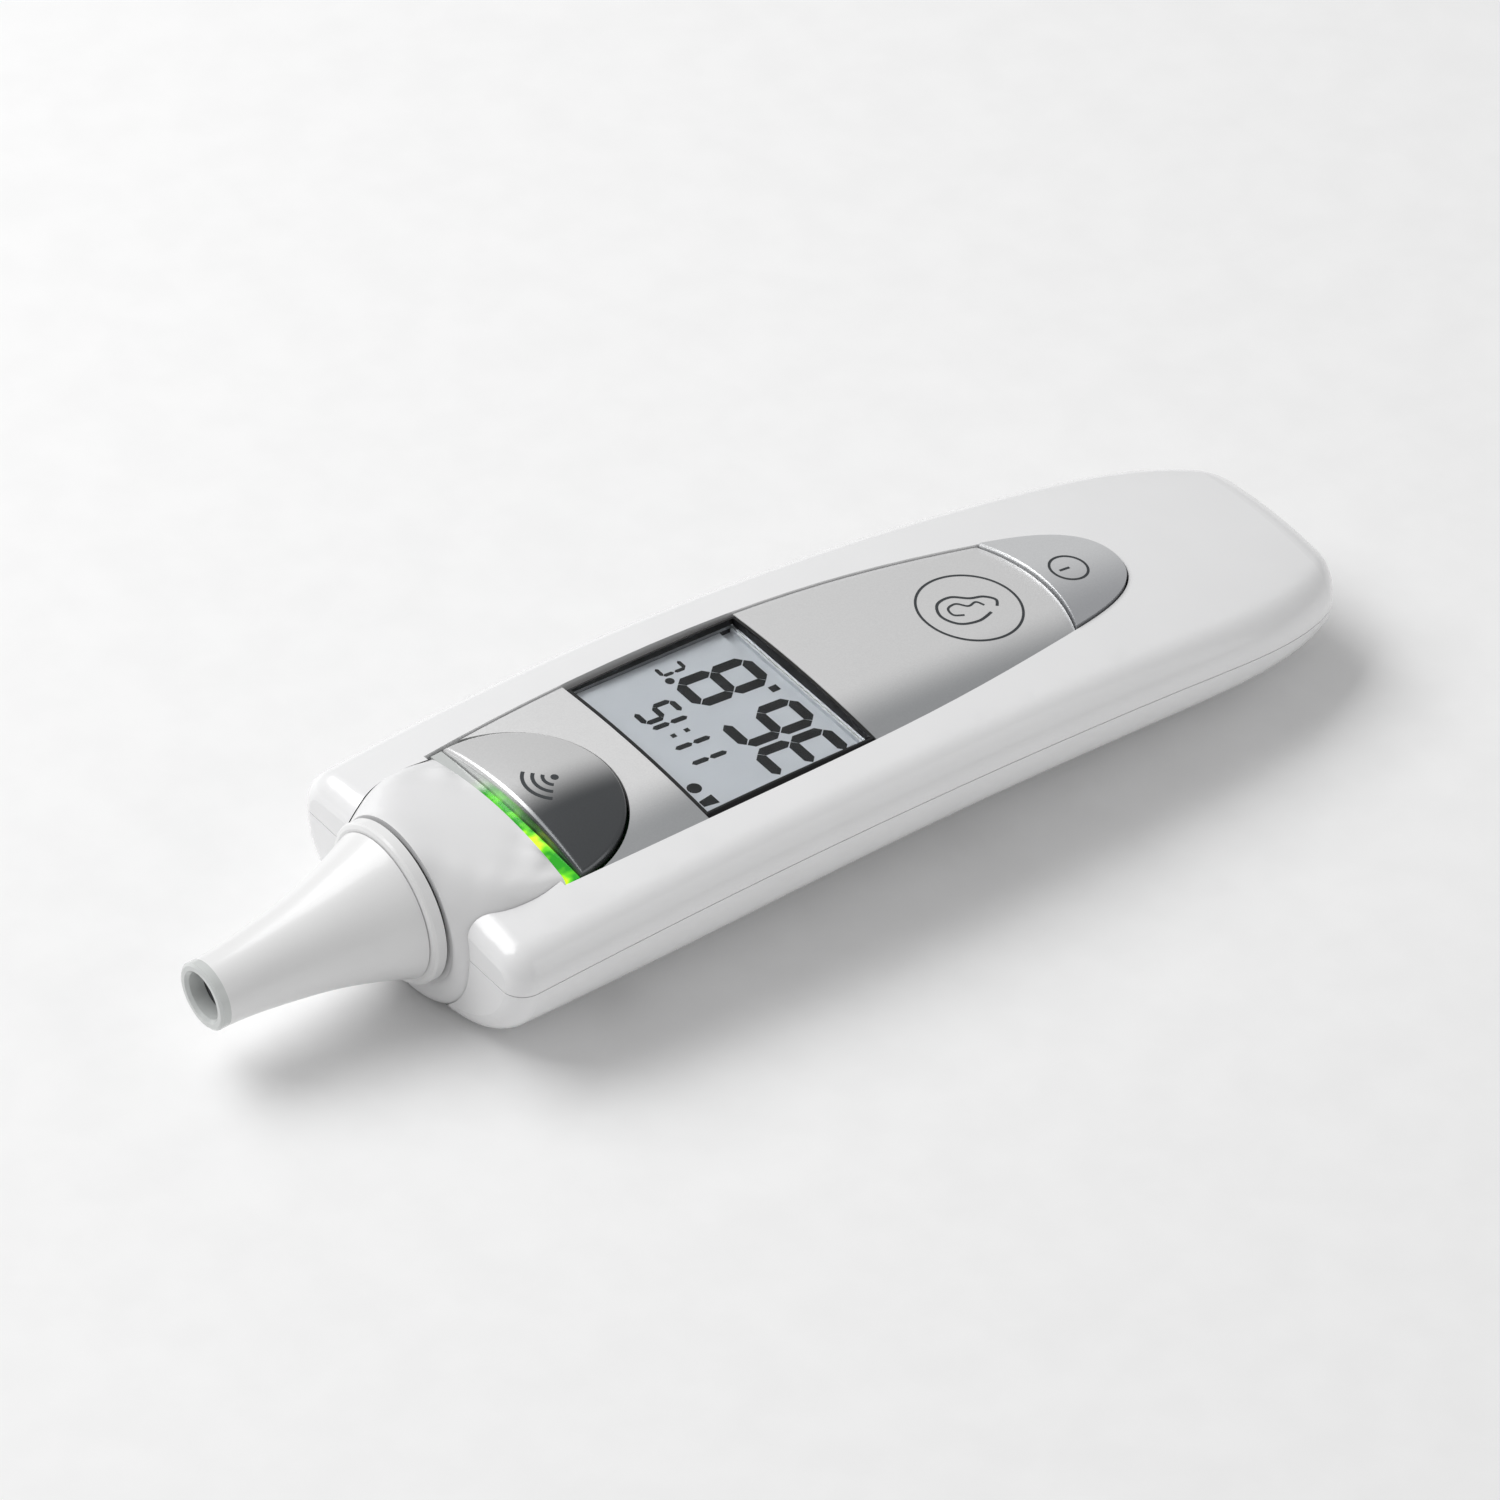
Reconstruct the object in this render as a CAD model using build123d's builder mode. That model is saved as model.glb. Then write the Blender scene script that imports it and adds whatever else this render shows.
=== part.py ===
from build123d import *
from math import cos, pi, radians, sin
import os

# A handheld ear thermometer that lies on its back, probe towards -X, handle end towards +X.
# Stations are distances in mm from the probe's tip along X.

# ---------------------------------------------------------------- driving dimensions
MIDDLE = 74.45           # station of the origin, half way along the whole thermometer
FRONT = 26.5             # front faces of the casing's two shoulders
END = 149.2              # end of the handle
WIDTH = 40.8             # widest point of the casing
WIDEST_AT = 50.0
TAPER = 0.00048          # how the half width falls away from the widest point
ROUND_FROM = 124.0       # the handle's rounded end starts here
ROUND_POWER = 2.9
TOP = 19.0               # crown of the top face at its highest station
TOP_AT = 76.0
TOP_BEND = 0.00121
CROWN = 1.0              # how far the top face falls from its centre line to its edges
ARCH = 2.1               # the underside rises by this much half way
ARCH_AT = 87.0
ARCH_REACH = 56.0
FOOT_CUT = 0.2           # the arch's two ends are cut level by this much
EDGE = 3.6               # radius of the top edge
BELLY_OUT = 14.5         # the belly's quarter ellipse: width, and height as a share of the thickness
BELLY_UP = 0.75
FRONT_ROUND = 2.8
END_ROUND = 4.6
WALL = 1.7               # casing wall
SEAM_BELOW_TOP = 5.6     # parting seam under the crown line
SEAM_GAP = 0.12
FIT = 0.15               # clearance round pieces that drop into an opening
MIDDLE_STATIONS = (36, 44, 56, 70, 84, 97, 109, 119, 127, 135)
ROUNDING_ANGLES = (0, 16, 32, 48, 64, 80)
QUARTER = 0.5523         # handle length of a Bezier quarter circle

PROBE_TILT = 4.5         # degrees, nose down
TIP_HEIGHT = 9.5         # the probe's axis above the table at the tip
PROBE = ((0.0, 3.88), (4.0, 4.1), (8.7, 4.7), (14.4, 5.7), (19.0, 6.95), (23.5, 8.55))
PROBE_WALL = 1.0
RING_R = 9.5
RING_FROM = 23.6
RING_TO = 25.1
NOSE_FROM = 25.6
DECK_TO = 38.3           # the nose's deck ends at the light guide

STRIP_FROM = 38.5
STRIP_TO = 40.0
LEAF_HALF = 12.65        # half width of the silver leaf at its front edge
SCAN_TO = 52.6           # apex of the scan button
WINDOW = (56.6, 79.6)
PANEL_TO = 112.6         # apex of the arc that ends the front panel
PANEL_CORNER = 109.4
LEAF_TO = 123.4
PANEL_SINK = 0.3         # the panel lies this much below the casing's top
PANEL_THICK = 1.2

BOARD_Z = 11.6           # underside of the circuit board
BOARD = 1.0
TRAVEL = 0.5             # button travel
COVER_FROM = 101.0       # front edge of the battery cover
COVER_HALF = 10.5
COVER_TOP = 4.2
CELL_AT = 121.0
CELL_R = 10.0
CELL_H = 3.2


# ---------------------------------------------------------------- shape of the casing
def x_at(station):
    return station - MIDDLE


def top_at(station):
    return TOP - TOP_BEND * (station - TOP_AT) ** 2


def bottom_at(station):
    reach = max(-1.0, min(1.0, (station - ARCH_AT) / ARCH_REACH))
    return ARCH * cos(pi / 2 * reach) ** 2 - FOOT_CUT


def half_width_at(station, inset=0.0):
    straight = WIDTH / 2 - TAPER * (station - WIDEST_AT) ** 2
    if station <= ROUND_FROM:
        return straight - inset
    reach = (station - ROUND_FROM) / (END + 2.2 - inset - ROUND_FROM)
    return straight * (1 - reach**ROUND_POWER) ** (1 / ROUND_POWER) - inset


def probe_point(along, up=0.0):
    """A point by its distance along the probe's axis and its height over that axis."""
    tilt = radians(PROBE_TILT)
    return (x_at(along * cos(tilt) - up * sin(tilt)), 0, TIP_HEIGHT + along * sin(tilt) + up * cos(tilt))


def draw_section(plane, half, top, bottom, edge, belly_out, belly_up, crown):
    """A closed section: crowned top, rounded top edges, upright sides, elliptical belly."""
    flat = half - edge
    slope = 2 * crown / flat
    shoulder = top - crown
    low = shoulder - slope * edge - edge
    keel = half - min(belly_out, half - 0.8)
    high = bottom + min(belly_up, low - bottom - 0.3)
    with BuildSketch(plane) as section:
        with BuildLine():
            Bezier((-flat, shoulder), (-flat / 3, shoulder + crown / 0.75),
                   (flat / 3, shoulder + crown / 0.75), (flat, shoulder))
            for side in (1, -1):
                corner = (side * half, shoulder - slope * edge)
                Bezier((side * flat, shoulder),
                       (side * (flat + QUARTER * edge), shoulder - slope * QUARTER * edge),
                       (corner[0], corner[1] - (1 - QUARTER) * edge), (side * half, low))
                Line((side * half, low), (side * half, high))
                Bezier((side * half, high), (side * half, high + QUARTER * (bottom - high)),
                       (side * (keel + QUARTER * (half - keel)), bottom), (side * keel, bottom))
            Line((keel, bottom), (-keel, bottom))
        make_face()
    return section.sketch


def draw_body_section(station, inset, rounding):
    """The casing's section at a station, drawn in by a wall thickness and an end rounding."""
    inward = inset + rounding
    top = top_at(station) - inward
    bottom = bottom_at(station) + inward
    belly_up = BELLY_UP * (top_at(station) - bottom_at(station)) - inward
    half = half_width_at(station, inset) - rounding
    return draw_section(Plane.YZ.offset(x_at(station)), half, top, bottom, max(EDGE - inward, 0.6),
                        BELLY_OUT - inward, belly_up, CROWN * half / (WIDTH / 2))


def body_form(inset=0.0):
    """The casing's outer form, or the same form drawn in on every side."""
    front_round = FRONT_ROUND - min(inset, FRONT_ROUND - 0.8)
    end_round = END_ROUND - min(inset, END_ROUND - 0.8)
    first = FRONT + inset + front_round
    last = END - inset - end_round
    middle = [first] + list(MIDDLE_STATIONS) + [last]
    with BuildPart() as form:
        loft([draw_body_section(station, inset, 0) for station in middle])
        for start, way, radius in ((first, -1, front_round), (last, 1, end_round)):
            loft([
                draw_body_section(start + way * radius * sin(radians(angle)), inset,
                                  radius * (1 - cos(radians(angle))))
                for angle in ROUNDING_ANGLES
            ])
    return form.part


def nose_form(grow=0.0):
    """The nose: a round mouth behind the collar that widens into the deck between the shoulders."""
    tilt = radians(PROBE_TILT)
    mouth = Plane(probe_point(NOSE_FROM - grow), x_dir=(0, 1, 0), z_dir=(cos(tilt), 0, sin(tilt)))
    r = 9.7 + grow
    sections = [draw_section(mouth, r, r, -r, r - 0.6, r - 0.6, r - 0.6, 0.02)]
    for station, half, top, bottom, edge, belly, crown in (
        (26.7, 11.5, 20.9, 0.2, 8.6, 8.6, 0.3),
        (28.4, 12.3, 20.45, 0.12, 6.4, 8.4, 0.8),
        (30.4, 12.5, 19.95, 0.6, 4.0, 7.8, 1.15),
        (32.6, 12.58, 19.45, 1.4, 2.4, 6.9, 1.35),
        (35.4, 12.62, 18.85, 2.2, 1.5, 5.9, 1.45),
        (DECK_TO, 12.65, 18.25, 3.0, 1.2, 5.0, 1.45),
    ):
        reach = station + (grow if station == DECK_TO else 0)
        sections.append(draw_section(Plane.YZ.offset(x_at(reach)), half + grow, top + grow,
                                     bottom - grow, max(edge + grow, 0.5), belly + grow,
                                     belly + grow, crown))
    with BuildPart() as form:
        loft(sections)
    return form.part


def block(station, y, low, high, length, width, mode=Mode.ADD):
    """An upright block given by its middle station, its y, and its bottom and top heights."""
    with Locations((x_at(station), y, (low + high) / 2)):
        Box(length, width, high - low, mode=mode)


def leaf_block(grow=0.0, front=STRIP_FROM):
    """The silver leaf's outline seen from above, scan button to power button, as a tall block."""
    side = LEAF_HALF + grow
    with BuildPart() as tall:
        with BuildSketch(Plane.XY.offset(BOARD_Z + 2)):
            with BuildLine():
                for way in (1, -1):
                    Spline((x_at(front), way * side), (x_at(56.6), way * (13.3 + grow)),
                           (x_at(79.6), way * (12.95 + grow)), (x_at(PANEL_CORNER), way * (9.06 + grow)),
                           (x_at(LEAF_TO + grow), 0),
                           tangents=[(1, 0.06 * way), (0, -way)], tangent_scalars=[1, 1.1])
                Line((x_at(front), -side), (x_at(front), side))
            make_face()
        extrude(amount=12)
    return tall.part


with BuildPart() as outer_form:
    add(body_form())
    block(MIDDLE, 0, -10, 0, 200, 60, Mode.SUBTRACT)
outer = outer_form.part
inner = body_form(WALL)
panel_top = body_form(PANEL_SINK)
panel_low = body_form(PANEL_SINK + PANEL_THICK)
flange_low = body_form(WALL + 0.9)
nose_cut = nose_form(FIT)


def seam_region(lift):
    """Everything above the arched parting seam, as a block."""
    stations = (FRONT - 8, 50, 80, 110, END + 8)
    with BuildPart() as region:
        with BuildSketch(Plane.XZ):
            with BuildLine():
                Spline(*[(x_at(s), top_at(s) - SEAM_BELOW_TOP + lift) for s in stations])
                Polyline((x_at(END + 8), top_at(END + 8) - SEAM_BELOW_TOP + lift), (x_at(END + 8), 40),
                         (x_at(FRONT - 8), 40), (x_at(FRONT - 8), top_at(FRONT - 8) - SEAM_BELOW_TOP + lift))
            make_face()
        extrude(amount=40, both=True)
    return region.part


above_seam = seam_region(SEAM_GAP)
below_gap = seam_region(0.0)


# ---------------------------------------------------------------- helpers for the pieces
os.makedirs("parts", exist_ok=True)


def save(piece, label):
    piece.part.label = label
    export_step(piece.part, f"parts/{label}.step")


tilt = radians(PROBE_TILT)
axis_plane = Plane(probe_point(0), x_dir=(cos(tilt), 0, sin(tilt)), z_dir=(0, -1, 0))
probe_axis = Axis(probe_point(0), (cos(tilt), 0, sin(tilt)))


def probe_plane(along):
    return Plane(probe_point(along), x_dir=(0, 1, 0), z_dir=(cos(tilt), 0, sin(tilt)))


def turn_probe(*outline, mode=Mode.ADD):
    """Turn a closed outline of (along, radius) points round the probe's axis."""
    with BuildSketch(axis_plane) as profile:
        with BuildLine():
            Polyline(*outline, close=True)
        make_face()
    revolve(profile.sketch, axis=probe_axis, mode=mode)


def probe_radius(along, inset=0.0):
    """The cone's outer radius, read off its driving stations."""
    for (a, ra), (b, rb) in zip(PROBE, PROBE[1:]):
        if along <= b:
            return ra + (rb - ra) * (along - a) / (b - a) - inset
    return PROBE[-1][1] - inset


# ---------------------------------------------------------------- probe
RIM = 1.2

with BuildPart() as probe_cone:
    with BuildSketch(axis_plane):
        with BuildLine():
            wall = [(along, radius) for along, radius in PROBE[1:]]
            Spline((RIM, probe_radius(RIM)), *wall)
            Spline((RIM, probe_radius(RIM, PROBE_WALL)), *[(a, r - PROBE_WALL) for a, r in wall])
            Line((RIM, probe_radius(RIM)), (RIM, probe_radius(RIM, PROBE_WALL)))
            Line(PROBE[-1], (PROBE[-1][0], PROBE[-1][1] - PROBE_WALL))
        make_face()
    revolve(axis=probe_axis)
    turn_probe((23.0, 6.9), (23.0, 7.6), (31.0, 7.6), (31.0, 6.9))
save(probe_cone, "probe_cone")

with BuildPart() as probe_tip_rim:
    turn_probe((0, 3.1), (0, 3.65), (0.25, 3.95), (RIM, 3.95), (RIM, 2.88), (4.0, 2.6), (4.0, 2.3),
               (0.4, 2.75))
save(probe_tip_rim, "probe_tip_rim")

with BuildPart() as sensor_window:
    turn_probe((2.0, 0), (2.0, 2.45), (2.5, 2.4), (2.5, 0))
save(sensor_window, "sensor_window")

with BuildPart() as waveguide_tube:
    turn_probe((4.2, 1.75), (4.2, 2.15), (13.6, 2.15), (13.6, 1.75))
save(waveguide_tube, "waveguide_tube")

with BuildPart() as sensor_holder:
    turn_probe((9.0, 2.2), (9.0, 3.3), (13.0, 3.9), (21.0, 4.9), (21.0, 2.75), (13.9, 2.75), (13.9, 2.2))
save(sensor_holder, "sensor_holder")

with BuildPart() as thermopile_sensor:
    turn_probe((14.0, 0), (14.0, 2.35), (16.6, 2.35), (16.6, 2.7), (17.1, 2.7), (17.1, 0))
save(thermopile_sensor, "thermopile_sensor")

with BuildPart() as sensor_leads:
    with BuildSketch(probe_plane(17.15)):
        with PolarLocations(1.27, 4, start_angle=45):
            Circle(0.23)
    extrude(amount=5.3)
save(sensor_leads, "sensor_leads")

with BuildPart() as sensor_board:
    with BuildSketch(probe_plane(21.1)):
        Circle(5.2)
        with PolarLocations(1.27, 4, start_angle=45):
            Circle(0.26, mode=Mode.SUBTRACT)
    extrude(amount=0.8)
save(sensor_board, "sensor_board")

with BuildPart() as probe_collar_ring:
    turn_probe((RING_FROM, 7.8), (RING_FROM, 8.9), (RING_FROM + 0.15, 9.3), (RING_FROM + 0.4, RING_R),
               (RING_TO, RING_R), (RING_TO, 7.8))
save(probe_collar_ring, "probe_collar_ring")

with BuildPart() as probe_seal:
    turn_probe((RING_TO + 0.02, 7.8), (RING_TO + 0.02, 8.8), (NOSE_FROM - 0.02, 8.8), (NOSE_FROM - 0.02, 7.8))
save(probe_seal, "probe_seal")

with BuildPart() as nose_cap:
    add(nose_form())
    add(nose_form(-1.5), mode=Mode.SUBTRACT)
    block(DECK_TO, 0, -2, 13.6, 8.0, 40, Mode.SUBTRACT)
    turn_probe((NOSE_FROM - 1, 0), (NOSE_FROM - 1, 7.7), (32, 7.7), (32, 0), mode=Mode.SUBTRACT)
save(nose_cap, "nose_cap")

# ---------------------------------------------------------------- casing
SCREWS = ((44.0, 16.0), (44.0, -16.0), (92.0, 15.4), (92.0, -15.4))
BOSS_R = 2.0
SCREW_R = 0.9
HEAD_R = 1.7
SCREW_LONG = 5.8
BOARD_SCREWS = ((54.0, 9.5), (54.0, -9.5), (84.0, 8.5), (84.0, -8.5))
BOARD_SCREW_R = 0.8
HEAD_SEAT = 8.6          # height of the screw heads' seats
RAIL = 0.8               # tongues on the battery cover's long edges
INSIDE_HALF = 12.3       # the display frame's opening
FRAME_WALL = 0.35
FRAME_SIDE = 0.25
RAIL_TO = 120.0
COVER_STEP = 118.0       # behind here the cover's floor drops with the underside
RAIL_LOW = 3.1
RAIL_HIGH = 3.8

with BuildPart() as upper_bosses:
    for station, y in SCREWS:
        with Locations((x_at(station), y, 14.0)):
            Cylinder(BOSS_R, 8.0)
            Cylinder(SCREW_R, 8.0, mode=Mode.SUBTRACT)
    add(above_seam, mode=Mode.INTERSECT)
    add(body_form(WALL / 2), mode=Mode.INTERSECT)
    with Locations([(x_at(station), y, 15.0) for station, y in SCREWS]):
        Cylinder(SCREW_R, 1.0, mode=Mode.ADD)

with BuildPart() as upper_casing:
    add(outer)
    add(inner, mode=Mode.SUBTRACT)
    add(above_seam, mode=Mode.INTERSECT)
    add(upper_bosses.part)
    add(leaf_block(FIT, DECK_TO - 0.5), mode=Mode.SUBTRACT)
    add(nose_cut, mode=Mode.SUBTRACT)
save(upper_casing, "upper_casing")

with BuildPart() as lower_bosses:
    for station, y in SCREWS:
        with Locations((x_at(station), y, 7.0)):
            Cylinder(BOSS_R + 0.8, 14.0)
    add(body_form(WALL / 2), mode=Mode.INTERSECT)
    add(below_gap, mode=Mode.SUBTRACT)

with BuildPart() as cell_deck:
    add(body_form(WALL / 2))
    block(124.5, 0, COVER_TOP - 1.2, COVER_TOP + 1.3, 50, 50, Mode.INTERSECT)
    with Locations((x_at(CELL_AT), 0, COVER_TOP)):
        Cylinder(CELL_R + 0.25, 4, mode=Mode.SUBTRACT)

with BuildPart() as board_posts:
    for station, y in BOARD_SCREWS:
        with Locations((x_at(station), y, BOARD_Z / 2)):
            Cylinder(2.0, BOARD_Z)
        with Locations((x_at(station), y, BOARD_Z)):
            Cylinder(BOARD_SCREW_R, 8.0, mode=Mode.SUBTRACT)
    add(body_form(WALL / 2), mode=Mode.INTERSECT)

with BuildPart() as lower_casing:
    add(outer)
    add(inner, mode=Mode.SUBTRACT)
    add(below_gap, mode=Mode.SUBTRACT)
    add(cell_deck.part)
    add(lower_bosses.part)
    add(board_posts.part)
    with Locations([(x_at(station), y, HEAD_SEAT - 6) for station, y in SCREWS]):
        Cylinder(HEAD_R + 0.2, 12, mode=Mode.SUBTRACT)
    with Locations([(x_at(station), y, 8) for station, y in SCREWS]):
        Cylinder(SCREW_R + 0.2, 20, mode=Mode.SUBTRACT)
    add(nose_cut, mode=Mode.SUBTRACT)
    block((COVER_FROM + END + 5) / 2, 0, -1, COVER_TOP, END + 5 - COVER_FROM, 2 * (COVER_HALF + FIT),
          Mode.SUBTRACT)
    block((COVER_FROM + END + 5) / 2, 0, RAIL_LOW - 0.1, RAIL_HIGH + 0.1, END + 5 - COVER_FROM,
          2 * (COVER_HALF + RAIL + FIT), Mode.SUBTRACT)
save(lower_casing, "lower_casing")

with BuildPart() as battery_cover:
    add(outer)
    block((COVER_FROM + END) / 2 + 3, 0, -1, COVER_TOP - FIT, END - COVER_FROM + 6 - 2 * FIT,
          2 * COVER_HALF, Mode.INTERSECT)
    block((COVER_FROM + 3 + COVER_STEP) / 2, 0, 2.9, COVER_TOP + 1, COVER_STEP - COVER_FROM - 3,
          2 * COVER_HALF - 3, Mode.SUBTRACT)
    block((COVER_STEP + END - 3) / 2, 0, 1.9, COVER_TOP + 1, END - 3 - COVER_STEP, 2 * COVER_HALF - 3,
          Mode.SUBTRACT)
    for side in (1, -1):
        block((COVER_FROM + RAIL_TO) / 2, side * (COVER_HALF + RAIL / 2 - 0.1), RAIL_LOW, RAIL_HIGH,
              RAIL_TO - COVER_FROM - 4, RAIL + 0.2)
save(battery_cover, "battery_cover")

with BuildPart() as casing_screws:
    for station, y in SCREWS:
        with Locations((x_at(station), y, HEAD_SEAT - 0.6)):
            Cylinder(HEAD_R, 1.2)
        with Locations((x_at(station), y, HEAD_SEAT + SCREW_LONG / 2)):
            Cylinder(SCREW_R - 0.02, SCREW_LONG)
save(casing_screws, "casing_screws")


# ---------------------------------------------------------------- silver leaf and display
def button_edge(station, half, bulge, grow=0.0):
    """A block in front of an arc that bulges towards +X, cut off square at its front."""
    with BuildPart() as tall:
        with BuildSketch(Plane.XY.offset(BOARD_Z + 2)):
            with BuildLine():
                ThreePointArc((x_at(station), -half), (x_at(bulge) + grow, 0), (x_at(station), half))
                Line((x_at(station), half), (x_at(station), -half))
            make_face()
        extrude(amount=12)
    return tall.part


def curved_slab(upper, lower):
    """What lies between two forms drawn in by different depths, on the top side only."""
    with BuildPart() as slab:
        add(upper)
        add(lower, mode=Mode.SUBTRACT)
        block(85, 0, BOARD_Z + 2, 30, 140, 60, Mode.INTERSECT)
    return slab.part


leaf = leaf_block()
scan_zone = button_edge(STRIP_FROM, LEAF_HALF + 0.6, SCAN_TO)
WINDOW_MID = sum(WINDOW) / 2
WINDOW_LONG = WINDOW[1] - WINDOW[0]

with BuildPart() as power_zone:
    with BuildSketch(Plane.XY.offset(BOARD_Z + 2)):
        with BuildLine():
            ThreePointArc((x_at(PANEL_CORNER - 1.5), -13), (x_at(PANEL_TO), 0), (x_at(PANEL_CORNER - 1.5), 13))
            Polyline((x_at(PANEL_CORNER - 1.5), 13), (x_at(140), 13), (x_at(140), -13),
                     (x_at(PANEL_CORNER - 1.5), -13))
        make_face()
    extrude(amount=12)

with BuildPart() as panel_rim:
    add(curved_slab(panel_low, flange_low))
    add(leaf, mode=Mode.INTERSECT)
    add(leaf_block(-1.1), mode=Mode.SUBTRACT)

with BuildPart() as panel_flange:
    add(curved_slab(body_form(WALL + 0.12), flange_low))
    add(leaf_block(1.2), mode=Mode.INTERSECT)
    add(leaf_block(-0.1), mode=Mode.SUBTRACT)

with BuildPart() as front_panel:
    add(curved_slab(panel_top, panel_low))
    add(leaf, mode=Mode.INTERSECT)
    block(WINDOW_MID, 0, 10, 30, WINDOW_LONG, 40, Mode.SUBTRACT)
    add(panel_rim.part)
    add(panel_flange.part)
    block(STRIP_TO, 0, 10, 30, 3.4, 40, Mode.SUBTRACT)
    add(scan_zone, mode=Mode.SUBTRACT)
    add(power_zone.part, mode=Mode.SUBTRACT)
    block(WINDOW_MID, 0, 10, 30, WINDOW_LONG, 2 * (INSIDE_HALF + FRAME_SIDE + FIT), Mode.SUBTRACT)
save(front_panel, "front_panel")

with BuildPart() as light_guide:
    add(curved_slab(panel_top, body_form(2.6)))
    block((STRIP_FROM + STRIP_TO) / 2, 0, 10, 30, STRIP_TO - STRIP_FROM - 0.1, 2 * LEAF_HALF - 0.2,
          Mode.INTERSECT)
save(light_guide, "light_guide")

SCAN_DOME_R = 43.0
SCAN_DOME_AT = 45.0
SCAN_DOME_TOP = 19.1
SCAN_SWITCH_AT = 46.0
SCAN_SWITCH_TOP = 14.6
POWER_SWITCH_AT = 118.0
POWER_SWITCH_TOP = 13.7
PLUNGER_UP = 0.8         # the plungers stand this much out of their switches
PLUNGER_R = 1.5
POST_GAP = 0.05          # between a plunger and the button's post over it

with BuildPart() as scan_button:
    add(button_edge(STRIP_TO + 0.1, LEAF_HALF - 0.15, SCAN_TO, -0.25))
    add(leaf_block(-0.12), mode=Mode.INTERSECT)
    with Locations((x_at(SCAN_DOME_AT), 0, SCAN_DOME_TOP - SCAN_DOME_R)):
        Sphere(SCAN_DOME_R, mode=Mode.INTERSECT)
    fillet(scan_button.faces().sort_by(Axis.Z)[-1].edges(), 0.6)
    block(SCAN_SWITCH_AT, 0, 0, 16.4, 40, 40, Mode.SUBTRACT)
    with Locations((x_at(SCAN_SWITCH_AT), 0, (SCAN_SWITCH_TOP + PLUNGER_UP + POST_GAP + 17) / 2)):
        Cylinder(2.2, 17 - SCAN_SWITCH_TOP - PLUNGER_UP - POST_GAP)
save(scan_button, "scan_button")

with BuildPart() as power_arc:
    with BuildSketch(Plane.XY.offset(BOARD_Z + 2)):
        with BuildLine():
            ThreePointArc((x_at(PANEL_CORNER - 1.5), -13), (x_at(PANEL_TO) + 0.3, 0),
                          (x_at(PANEL_CORNER - 1.5), 13))
            Polyline((x_at(PANEL_CORNER - 1.5), 13), (x_at(140), 13), (x_at(140), -13),
                     (x_at(PANEL_CORNER - 1.5), -13))
        make_face()
    extrude(amount=12)

with BuildPart() as power_button:
    add(curved_slab(body_form(-0.35), panel_low))
    add(leaf_block(-0.12), mode=Mode.INTERSECT)
    add(power_arc.part, mode=Mode.INTERSECT)
    with Locations((x_at(POWER_SWITCH_AT), 0, (POWER_SWITCH_TOP + PLUNGER_UP + POST_GAP + 15.6) / 2)):
        Cylinder(2.0, 15.6 - POWER_SWITCH_TOP - PLUNGER_UP - POST_GAP)
save(power_button, "power_button")

LENS_TOP = 17.35
LENS = 0.6
GLASS_TOP = LENS_TOP - LENS - 0.05
GLASS = 1.1
BOARD_TOP = BOARD_Z + BOARD
frame_long = WINDOW_LONG - 0.2
inside_long = frame_long - 2 * FRAME_WALL

with BuildPart() as frame_blank:
    add(panel_top)
    block(WINDOW_MID, 0, BOARD_TOP, 30, frame_long, 40, Mode.INTERSECT)
    block(WINDOW_MID, 0, 0, 30, inside_long, 2 * INSIDE_HALF, Mode.SUBTRACT)

with BuildPart() as lcd_frame:
    add(frame_blank.part)
    block(WINDOW_MID, 0, 0, 30, 60, 2 * (INSIDE_HALF + FRAME_SIDE), Mode.INTERSECT)
    block(WINDOW_MID, 0, 0, LENS_TOP - 2.2, inside_long - 3, 60, Mode.SUBTRACT)
save(lcd_frame, "lcd_frame")

clear_long = inside_long - 0.1
clear_wide = 2 * INSIDE_HALF - 0.1
with BuildPart() as display_lens:
    block(WINDOW_MID, 0, LENS_TOP - LENS, LENS_TOP, clear_long, clear_wide)
save(display_lens, "display_lens")

with BuildPart() as lcd_glass:
    block(WINDOW_MID, 0, GLASS_TOP - GLASS, GLASS_TOP, clear_long, clear_wide)
    block(WINDOW[1] - 1.5, 0, GLASS_TOP - GLASS / 2, GLASS_TOP + 1, 1.5, clear_wide + 2, Mode.SUBTRACT)
save(lcd_glass, "lcd_glass")

with BuildPart() as lcd_reflector:
    block(WINDOW_MID, 0, GLASS_TOP - GLASS - 0.55, GLASS_TOP - GLASS - 0.05, clear_long - 5.2, clear_wide)
save(lcd_reflector, "lcd_reflector")

with BuildPart() as zebra_strips:
    for station in (WINDOW[0] + 2.2, WINDOW[1] - 2.2):
        block(station, 0, BOARD_TOP, GLASS_TOP - GLASS, 1.6, clear_wide - 2)
save(zebra_strips, "zebra_strips")


# ---------------------------------------------------------------- electronics
with BuildPart() as main_pcb:
    block(46.0, 0, BOARD_Z, BOARD_TOP, 14.4, 23.2)
    block(68.0, 0, BOARD_Z, BOARD_TOP, 30.0, 26.4)
    block(102.0, 0, BOARD_Z, BOARD_TOP, 39.0, 20.6)
    with Locations([(x_at(station), y, BOARD_Z) for station, y in BOARD_SCREWS]):
        Cylinder(BOARD_SCREW_R + 0.1, 4, mode=Mode.SUBTRACT)
save(main_pcb, "main_pcb")

with BuildPart() as pcb_screws:
    for station, y in BOARD_SCREWS:
        with Locations((x_at(station), y, BOARD_TOP + 0.4)):
            Cylinder(1.5, 0.8)
        with Locations((x_at(station), y, BOARD_TOP - 2.0)):
            Cylinder(BOARD_SCREW_R, 4.0)
save(pcb_screws, "pcb_screws")


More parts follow.
